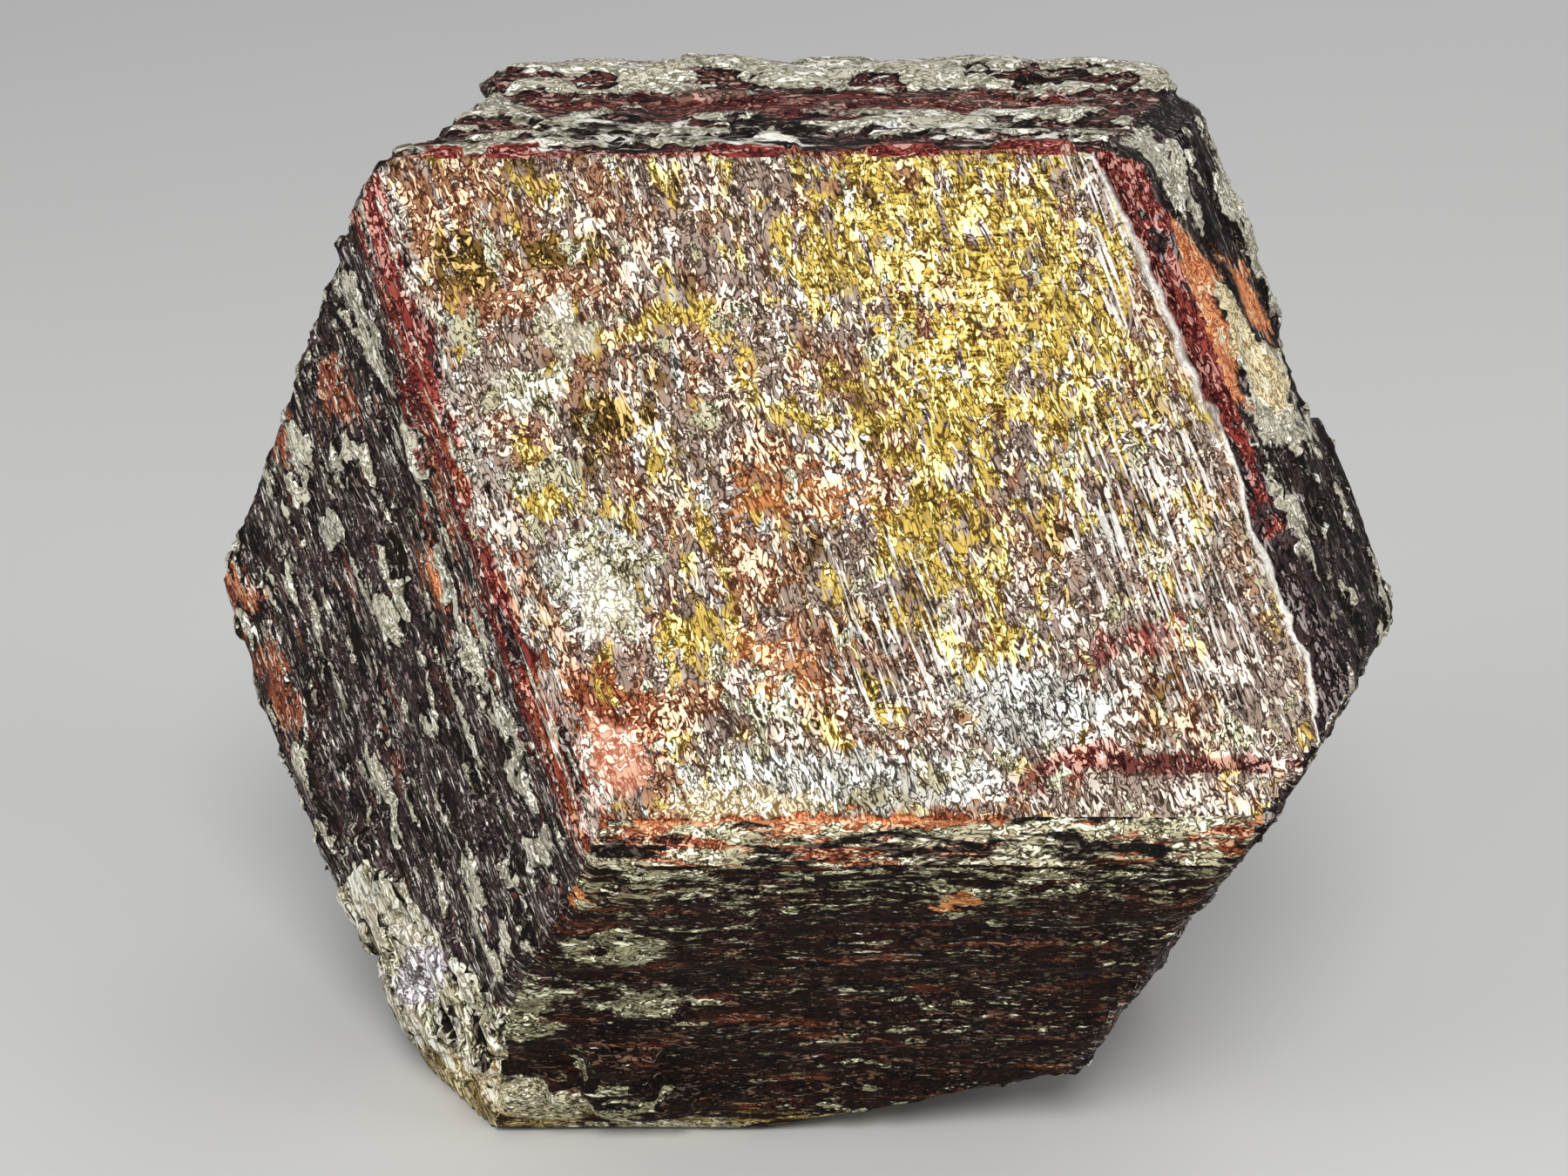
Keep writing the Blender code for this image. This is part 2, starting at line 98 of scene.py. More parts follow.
# each face: the lattice line that its growth lines follow, the length and breadth of its flakes in mm,
# the cloud value past which crust stands proud, how high it rises and how deep the face waves, in mm;
# "crusts" are places where the crust is thick: mm along and across the growth lines, half sizes in mm
relief = {
    "front": {
        "along": downRight, "flake": (0.9, 0.55), "cover": 0.74, "rise": 0.10, "wave": 0.02,
        "crusts": [
            (6.3, 5.3, 0.9, 0.8), (6.6, 6.8, 0.7, 0.6), (5.1, 6.1, 0.9, 1.0), (2.7, 6.1, 1.0, 1.0),
            (1.0, 5.6, 1.7, 1.3), (-3.2, 3.7, 0.9, 0.7), (-5.9, 4.3, 0.6, 2.2), (-5.9, 0.8, 0.5, 3.2),
            (-7.4, -5.8, 0.8, 1.1),
        ],
    },
    "left": {
        "along": downRight, "flake": (1.3, 0.42), "cover": 0.66, "rise": 0.13, "wave": 0.05,
        "crusts": [
            (9.0, -5.9, 1.5, 0.5), (7.5, -5.9, 0.8, 0.9), (6.9, -0.8, 1.2, 0.8), (5.8, -3.2, 0.6, 0.8),
            (5.2, -6.6, 1.5, 0.4), (3.1, 0.9, 0.8, 0.5), (2.2, -3.0, 0.7, 0.9), (0.5, 4.1, 0.9, 0.5),
            (-1.1, 0.1, 1.0, 0.4), (-4.2, -2.6, 1.1, 0.5), (-5.5, -2.0, 1.3, 0.4), (-0.8, -5.9, 3.2, 0.8),
            (-4.1, -6.0, 0.5, 0.9),
        ],
    },
    "right": {
        "along": downRight, "flake": (1.3, 0.5), "cover": 0.66, "rise": 0.14, "wave": 0.05,
        "crusts": [
            (6.2, 5.4, 1.4, 0.7), (5.2, 3.2, 1.6, 0.6), (4.3, 7.3, 1.0, 0.6), (3.6, 2.8, 0.8, 0.9),
            (1.6, 5.9, 1.4, 1.2), (0.4, 4.8, 0.8, 1.0), (-1.0, 5.6, 0.8, 1.5), (-2.8, 7.2, 1.2, 1.0),
        ],
    },
    "top": {
        "along": acrossX, "flake": (1.9, 0.5), "cover": 0.60, "rise": 0.16, "wave": 0.05,
        "crusts": [
            (-7.6, -7.7, 2.2, 0.45), (-3.0, -7.4, 2.4, 0.4), (-5.7, -5.5, 1.2, 0.5), (2.1, -5.2, 3.2, 0.7),
            (-5.9, -1.2, 2.6, 1.2), (-1.8, -0.9, 2.4, 1.1), (1.6, -0.5, 2.6, 1.4), (5.4, -0.1, 2.0, 1.4),
        ],
    },
    "frontFoot": {
        "along": acrossX, "flake": (1.1, 0.28), "cover": 0.70, "rise": 0.05, "wave": 0.06,
        "crusts": [
            (-4.6, 7.7, 2.2, 0.5), (-5.7, 4.9, 1.4, 0.6), (-5.0, 1.9, 1.0, 0.6), (-3.0, 5.0, 0.6, 0.4),
            (0.0, 7.9, 4.0, 0.35), (3.6, 7.8, 2.4, 0.6), (6.6, 7.8, 1.4, 0.6), (-5.9, -1.3, 1.3, 0.9),
            (1.4, -2.1, 2.4, 0.35), (-1.9, -2.0, 1.4, 0.3),
        ],
    },
    "footBreak": {"along": downRight, "flake": (2.2, 0.55), "cover": 0.52, "rise": 0.24, "wave": 0.10},
}
plainRelief = {"flake": (1.5, 0.45), "cover": 0.64, "rise": 0.09, "wave": 0.05}
edgeRelief = {**plainRelief, "rise": 0.0, "wave": 0.02}
for faceName in ("leftBack", "rightBack"):
    relief[faceName] = {"along": downLeft, **plainRelief}
for faceName in ("backTop", "backFoot", "base", "footEdge", "toeBreak"):
    relief[faceName] = {"along": acrossX, **plainRelief}
for faceName in ("rightFoot", "leftFoot", "topRightEdge"):
    relief[faceName] = {"along": intoDepth, **plainRelief}
for faceName in ("leftEdge", "rightEdge"):
    relief[faceName] = {"along": downRight, **edgeRelief}
skin = {
    "cell": 0.176,          # mm, how fine the skin is
    "flat": 0.35,           # mm above the table that stay as they are
    "flakeEdge": 0.09,      # how suddenly a flake ends
    "flakeDepth": 2.0,      # mm that a flake's cloud reaches inwards
    "flakeDetail": {"rough": 0.65, "finer": 2.1, "layers": 4},
    "waveSize": 1.3,        # mm
    "waveDetail": {"rough": 0.8, "finer": 2.0, "layers": 3},
    "thick": 0.36,          # what a named crust adds to the cloud
    "crustReach": 1.2,      # how far a named crust goes, in half sizes
    "merge": 1e-6,          # metres
}


def faceAxes(name):
    outward = planes[name][0]
    along = inRow(relief[name]["along"])
    across = outward.cross(along).normalized()
    return along, across, outward


def nearestPlane(point):
    name = max(planes, key=lambda name: point.dot(planes[name][0]) - planes[name][1])
    if name == "footBreak" and point.dot(inRow(downRight)) > crystal["breakTop"]:
        name = "left"
    return name


def ease(value, low, high):
    share = min(1.0, max(0.0, (value - low) / (high - low)))
    return share * share * (3 - 2 * share)


def cloudAt(place, look):
    return noise.fractal(place, look["rough"], look["finer"], look["layers"])


def flakeField(name, point, axes):
    look = relief[name]
    a, b, c = point.dot(axes[0]), point.dot(axes[1]), point.dot(axes[2])
    longWay, shortWay = look["flake"]
    flakes = cloudAt(Vector((a / longWay, b / shortWay, c / skin["flakeDepth"])), skin["flakeDetail"])
    thick = 0.0
    for atA, atB, halfA, halfB in look.get("crusts", []):
        thick = max(thick, skin["crustReach"] - math.hypot((a - atA) / halfA, (b - atB) / halfB))
    return 0.5 + 0.5 * flakes + skin["thick"] * min(thick, 1.0)


def makeSkin():
    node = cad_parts[crystal["node"]]
    bpy.ops.object.select_all(action="DESELECT")
    piece = bpy.data.objects.new("garnetCrystal", node.data.copy())
    bpy.context.scene.collection.objects.link(piece)
    piece.data.materials.clear()
    bpy.context.view_layer.objects.active = piece
    piece.select_set(True)
    bpy.ops.object.mode_set(mode="EDIT")
    bpy.ops.mesh.select_all(action="SELECT")
    bpy.ops.mesh.remove_doubles(threshold=skin["merge"])
    bpy.ops.object.mode_set(mode="OBJECT")
    remesh = piece.modifiers.new("even skin", "REMESH")
    remesh.mode = "VOXEL"
    remesh.voxel_size = skin["cell"] * mm
    bpy.ops.object.modifier_apply(modifier=remesh.name)
    return piece


def raiseRelief(piece):
    mesh = piece.data
    axes = {name: faceAxes(name) for name in relief}
    crust = mesh.attributes.new("crust", "FLOAT", "POINT")
    lifted = []
    for vertex in mesh.vertices:
        point = vertex.co / mm - crystal["centre"]
        name = nearestPlane(point)
        field = flakeField(name, point, axes[name])
        crust.data[vertex.index].value = field      # the finish paints crust where the relief raises it
        look = relief[name]
        rise = look["rise"] * ease(field, look["cover"], look["cover"] + skin["flakeEdge"])
        wave = look["wave"] * cloudAt(point / skin["waveSize"], skin["waveDetail"])
        above = ease(vertex.co.z / mm, skin["flat"], 3 * skin["flat"])
        lifted.append(vertex.normal * (rise + wave) * above * mm)
    for vertex, lift in zip(mesh.vertices, lifted):
        vertex.co += lift
    mesh.update()


class Wire:
    # one output of a node; + - * and abs on it add the Math nodes
    def __init__(self, finish, socket):
        self.finish = finish
        self.socket = socket

    def sum(self, how, one, other):
        return self.finish.node("ShaderNodeMath", {"operation": how}, {0: one, 1: other})

    def __add__(self, other):
        return self.sum("ADD", self, other)

    def __radd__(self, other):
        return self.sum("ADD", other, self)

    def __sub__(self, other):
        return self.sum("SUBTRACT", self, other)

    def __rsub__(self, other):
        return self.sum("SUBTRACT", other, self)

    def __mul__(self, other):
        return self.sum("MULTIPLY", self, other)

    def __rmul__(self, other):
        return self.sum("MULTIPLY", other, self)

    def __abs__(self):
        return self.sum("ABSOLUTE", self, 0.0)


class Finish:
    # a material and the nodes that paint it
    def __init__(self, name):
        self.material = bpy.data.materials.new(name)
        self.material.use_nodes = True
        self.tree = self.material.node_tree
        self.surface = self.tree.nodes["Principled BSDF"]

    def node(self, kind, settings, sockets, output=0):
        made = self.tree.nodes.new(kind)
        for setting, value in settings.items():
            if setting == "stops":
                self.setStops(made.color_ramp, value)
            else:
                setattr(made, setting, value)
        for socket, value in sockets.items():
            self.join(value, made.inputs[socket])
        return Wire(self, made.outputs[output])

    def join(self, value, socket):
        if isinstance(value, Wire):
            self.tree.links.new(value.socket, socket)
        elif hasattr(value, "__len__") and len(value) == 3 and socket.type == "RGBA":
            socket.default_value = (*value, 1.0)
        else:
            socket.default_value = value

    def setStops(self, ramp, stops):
        while len(ramp.elements) < len(stops):
            ramp.elements.new(0.5)
        for element, (place, colour) in zip(ramp.elements, stops):
            element.position = place
            element.color = (*colour, 1.0)

    def where(self):
        return self.node("ShaderNodeTexCoord", {}, {}, output=3)        # object coordinates

    def mapped(self, vector, place=(0, 0, 0), turn=(0, 0, 0), size=(1, 1, 1), how="POINT"):
        sockets = {"Vector": vector, "Location": place, "Rotation": turn, "Scale": size}
        return self.node("ShaderNodeMapping", {"vector_type": how}, sockets)

    def clouds(self, vector, scale, detail=2.0, rough=0.5, wander=0.0):
        sockets = {"Vector": vector, "Scale": scale, "Detail": detail}
        sockets.update({"Roughness": rough, "Distortion": wander})
        return self.node("ShaderNodeTexNoise", {}, sockets)

    def smooth(self, value, low, high):
        sockets = {"Value": value, "From Min": low, "From Max": high}
        return self.node("ShaderNodeMapRange", {"interpolation_type": "SMOOTHSTEP"}, sockets)

    def larger(self, one, other):
        return self.node("ShaderNodeMath", {"operation": "MAXIMUM"}, {0: one, 1: other})

    def mixed(self, mask, under, over):
        return self.node("ShaderNodeMix", {"data_type": "RGBA"}, {0: mask, 6: under, 7: over}, output=2)

    def scaled(self, colour, amount):
        return self.node("ShaderNodeVectorMath", {"operation": "SCALE"}, {0: colour, "Scale": amount})

    def length(self, vector):
        return self.node("ShaderNodeVectorMath", {"operation": "LENGTH"}, {0: vector}, output=1)

    def dot(self, vector, way):
        sockets = {0: vector, 1: way}
        return self.node("ShaderNodeVectorMath", {"operation": "DOT_PRODUCT"}, sockets, output=1)

    def onFace(self, name):
        # mm from the crystal's centre: along the growth lines, across them, outward
        turn = Matrix(faceAxes(name))
        place = -(turn @ crystal["centre"])
        return self.mapped(self.where(), place, turn.to_euler(), (1 / mm,) * 3)

    def tones(self, grain, dark, middle, bright):
        stops = [(0.0, dark), (0.5, middle), (1.0, bright)]
        return self.node("ShaderNodeValToRGB", {"stops": stops}, {"Fac": grain})


# how a layer of colour ends, where the layer itself says nothing else: how far broad clouds ("ragged") and
# the streaks ("frayed") push its edge about, and over how much it fades ("soft")
layerEdges = {
    "patches": {"ragged": 4.0, "soft": 0.3},
    "band": {"ragged": 0.6, "soft": 0.7},       # mm, and the share of its breadth where it starts to fade
    "crust": {"frayed": 0.25, "soft": 0.04},
    "strewn": {"frayed": 0.20, "soft": 0.06, "shift": 3.0, "detail": 3.0, "rough": 0.58},
}


def patchMask(finish, place, layer, ragged):
    mask = None
    for a, b, halfA, halfB, turn in layer["patches"]:
        turned = (0, 0, math.radians(turn))
        # the third size is only large enough for depth not to count
        inside = finish.mapped(place, (a, b, 0), turned, (halfA, halfB, 1000), "TEXTURE")
        near = finish.smooth(1 - finish.length(inside) + ragged * layer["ragged"], 0.0, layer["soft"])
        mask = near if mask is None else finish.larger(mask, near)
    return mask


def bandMask(finish, layer, ragged):
    outward, out = planes[layer["band"]]
    reach = out + crystal["centre"].dot(outward)
    depth = reach - finish.dot(finish.where(), tuple(outward / mm))
    return 1 - finish.smooth(depth + ragged * layer["ragged"], layer["wide"] * layer["soft"], layer["wide"])


def crustMask(finish, layer, fine):
    field = finish.node("ShaderNodeAttribute", {"attribute_name": "crust"}, {}, output=2)
    return finish.smooth(field + fine * layer["frayed"], layer["crust"], layer["crust"] + layer["soft"])


def strewnMask(finish, place, layer, fine):
    longWay, shortWay, cover = layer["strewn"]
    if "turn" in layer:
        place = finish.mapped(place, turn=(0, 0, math.radians(layer["turn"])))
    stretched = finish.mapped(place, (layer["shift"], 0, 0), size=(1 / longWay, 1 / shortWay, 1))
    cloud = finish.clouds(stretched, 1.0, layer["detail"], layer["rough"])
    return finish.smooth(cloud + fine * layer["frayed"], cover, cover + layer["soft"])


def layerMask(finish, place, layer, ragged, fine):
    kind = next(kind for kind in layerEdges if kind in layer)
    layer = {**layerEdges[kind], **layer}
    if kind == "patches":
        mask = patchMask(finish, place, layer, ragged)
    elif kind == "band":
        mask = bandMask(finish, layer, ragged)
    elif kind == "crust":
        mask = crustMask(finish, layer, fine)
    else:
        mask = strewnMask(finish, place, layer, fine)
    if "within" in layer:
        mask = mask * layerMask(finish, place, layer["within"], ragged, fine)
    return mask * layer["strength"] if "strength" in layer else mask


# the drawing that all faces share: "finer" is clouds to a streak's breadth, "scale" is clouds to a mm
drawing = {
    "streaks": {"detail": 2.0, "rough": 0.5, "wander": 1.2},
    "crumbs": {"finer": 0.7, "detail": 2.0, "rough": 0.5, "wander": 1.2, "from": (5, 5, 5)},
    "crumbly": {"scale": 0.6, "detail": 2.0, "soft": 0.06},         # where crumbs take over from streaks
    "clumps": {"detail": 3.0, "rough": 0.6},                        # where pale streaks crowd
    "crossing": {"finer": 0.5, "detail": 1.0, "rough": 0.5, "wander": 2.0, "from": (9, 2, 4)},
    "outline": (0.005, 0.085),      # the dark line round a streak, partly painted shade in the crevice, from its middle to its edge
    "crossLine": (0.005, 0.060),
    "streakEdge": 0.02,
    "fine": {"finer": 0.5, "detail": 3.0, "rough": 0.6, "strength": 0.8},
    "ragged": {"scale": 1.3, "detail": 4.0, "rough": 0.65, "fine": 0.5},    # for the layers' edges
    "shade": {"scale": 0.6, "detail": 4.0, "rough": 0.65},                  # broad light and dark
    "shine": (0.6, 0.9),            # where in the grain a streak begins to shine, and where it shines fully
    "bump": {"fine": 1.6, "ragged": 0.8, "strength": 0.8},
}


def cloudsLike(finish, vector, name, scale):
    look = drawing[name]
    return finish.clouds(vector, scale, look["detail"], look.get("rough", 0.5), look.get("wander", 0.0))


def makeGrain(finish, place, long, look, fine):
    # 1 on a pale streak (on the front partly painted highlight), 0.5 on the ground between, 0 on the dark
    # lines round and across them (partly painted shade in the crevices)
    width = look["grain"][0]
    streaks = cloudsLike(finish, long, "streaks", 1 / width)
    crumbPlace = finish.mapped(place, drawing["crumbs"]["from"])
    crumbs = cloudsLike(finish, crumbPlace, "crumbs", drawing["crumbs"]["finer"] / width)
    broad = cloudsLike(finish, place, "crumbly", drawing["crumbly"]["scale"])
    share = finish.smooth(broad, look["crumbly"], look["crumbly"] + drawing["crumbly"]["soft"])
    clumps = cloudsLike(finish, place, "clumps", look["clumps"]) - 0.5
    woven = streaks * (1 - share) + crumbs * share + clumps * look["clumped"] - look["sparse"]
    outlines = finish.smooth(abs(woven), *drawing["outline"])
    crossPlace = finish.mapped(long, drawing["crossing"]["from"])
    crossing = cloudsLike(finish, crossPlace, "crossing", drawing["crossing"]["finer"] / width) - 0.5
    lines = finish.smooth(abs(crossing), *drawing["crossLine"])
    pale = finish.smooth(woven, -drawing["streakEdge"], drawing["streakEdge"])
    return (0.5 + fine * drawing["fine"]["strength"] + 0.5 * pale) * outlines * lines


def paintFace(name, face, look):
    finish = Finish(name)
    place = finish.onFace(face)
    width, stretch = look["grain"]
    long = finish.mapped(place, size=(1 / stretch, 1, 1))
    ragged = cloudsLike(finish, place, "ragged", drawing["ragged"]["scale"]) - 0.5
    fine = cloudsLike(finish, long, "fine", drawing["fine"]["finer"] / width) - 0.5
    grain = makeGrain(finish, place, long, look, fine)
    edges = ragged + fine * drawing["ragged"]["fine"]
    colour = finish.tones(grain, *look["tones"])
    for layer in look["layers"]:
        mask = layerMask(finish, place, layer, edges, fine)
        colour = finish.mixed(mask, colour, finish.tones(grain, *layer["tones"]))
    colour = finish.scaled(colour, 0.5 + cloudsLike(finish, place, "shade", drawing["shade"]["scale"]))
    finish.join(colour, finish.surface.inputs["Base Color"])
    shine = finish.smooth(grain, *drawing["shine"])
    finish.join(look["rough"] - shine * look["polish"], finish.surface.inputs["Roughness"])
    if look["metal"] > 0:
        finish.join(shine * look["metal"], finish.surface.inputs["Metallic"])
    bump = drawing["bump"]
    height = fine * bump["fine"] + ragged * bump["ragged"]
    sockets = {"Height": height, "Distance": look["bump"] * mm, "Strength": bump["strength"]}
    finish.join(finish.node("ShaderNodeBump", {}, sockets), finish.surface.inputs["Normal"])
    finish.surface.inputs["Specular IOR Level"].default_value = look["gloss"]
    return finish.material


# every finish in three tones: its dark lines, partly painted crevice shade, its ground, its pale streaks,
# on the front partly painted highlight
# the front's gold tones: partly the coating's own gold, partly painted sheen highlight
goldAndSheen = ((0.09, 0.045, 0.006), (0.74, 0.52, 0.11), (1.0, 0.92, 0.40))
brightGoldAndSheen = ((0.52, 0.34, 0.05), (0.98, 0.80, 0.24), (1.0, 0.97, 0.55))
ochre = ((0.03, 0.016, 0.004), (0.34, 0.24, 0.07), (0.80, 0.68, 0.34))
olive = ((0.015, 0.008, 0.002), (0.20, 0.11, 0.025), (0.66, 0.46, 0.17))
lavender = ((0.04, 0.022, 0.014), (0.42, 0.31, 0.25), (0.84, 0.75, 0.63))
paleLavender = ((0.10, 0.075, 0.075), (0.62, 0.56, 0.58), (1.0, 0.98, 1.0))
pink = ((0.36, 0.10, 0.05), (0.74, 0.42, 0.29), (0.95, 0.76, 0.60))
orange = ((0.20, 0.05, 0.012), (0.66, 0.27, 0.09), (0.95, 0.66, 0.35))
paleOrange = ((0.30, 0.06, 0.02), (0.86, 0.34, 0.14), (1.0, 0.72, 0.42))
brownRed = ((0.06, 0.016, 0.008), (0.42, 0.20, 0.10), (0.90, 0.68, 0.46))
rust = ((0.05, 0.010, 0.005), (0.34, 0.09, 0.035), (0.80, 0.44, 0.27))
maroon = ((0.04, 0.005, 0.004), (0.31, 0.052, 0.040), (0.66, 0.34, 0.28))
darkRed = ((0.012, 0.002, 0.002), (0.16, 0.025, 0.020), (0.54, 0.26, 0.20))
wine = ((0.006, 0.002, 0.002), (0.13, 0.040, 0.032), (0.50, 0.34, 0.28))
aubergine = ((0.004, 0.003, 0.003), (0.055, 0.032, 0.031), (0.34, 0.28, 0.27))
blackRed = ((0.002, 0.001, 0.001), (0.022, 0.008, 0.005), (0.13, 0.075, 0.045))
# near black; laid as a rim round the pale crusts it is painted shadow under the raised crust
blackAndShadow = ((0.001, 0.001, 0.001), (0.012, 0.006, 0.004), (0.09, 0.065, 0.05))
greenCream = ((0.02, 0.018, 0.008), (0.36, 0.33, 0.19), (0.98, 0.97, 0.72))
greyCream = ((0.02, 0.016, 0.012), (0.42, 0.37, 0.30), (1.0, 0.98, 0.88))
cream = ((0.04, 0.030, 0.014), (0.60, 0.54, 0.34), (1.0, 0.98, 0.78))
butter = ((0.26, 0.16, 0.06), (1.0, 0.87, 0.55), (1.0, 0.99, 0.84))
lichen = ((0.17, 0.15, 0.10), (0.62, 0.58, 0.46), (1.0, 0.99, 0.88))
bone = ((0.26, 0.22, 0.15), (0.84, 0.79, 0.62), (1.0, 0.99, 0.90))
chalk = ((0.05, 0.045, 0.035), (0.74, 0.69, 0.59), (1.0, 0.99, 0.92))
white = ((0.03, 0.025, 0.02), (0.66, 0.62, 0.54), (1.0, 1.0, 0.96))
glint = ((0.66, 0.61, 0.54), (0.92, 0.88, 0.80), (1.0, 1.0, 0.97))

# what every face's look starts from
plainLook = {
    "grain": (0.15, 2.6),       # mm across a streak, and how many times longer it is
    "crumbly": 0.54,            # the lower, the more crumbs there are among the streaks
    "clumps": 1.4,              # clumps of streaks to a mm, about
    "clumped": 0.35,            # how tightly streaks clump
    "sparse": 0.50,             # the higher, the fewer streaks
    "tones": aubergine,
    "rough": 0.8,
    "polish": 0.25,             # how much less rough a streak is
    "metal": 0.0,               # how metallic a streak is
    "bump": 0.03,               # mm
    "gloss": 0.15,              # the shader's specular level
}

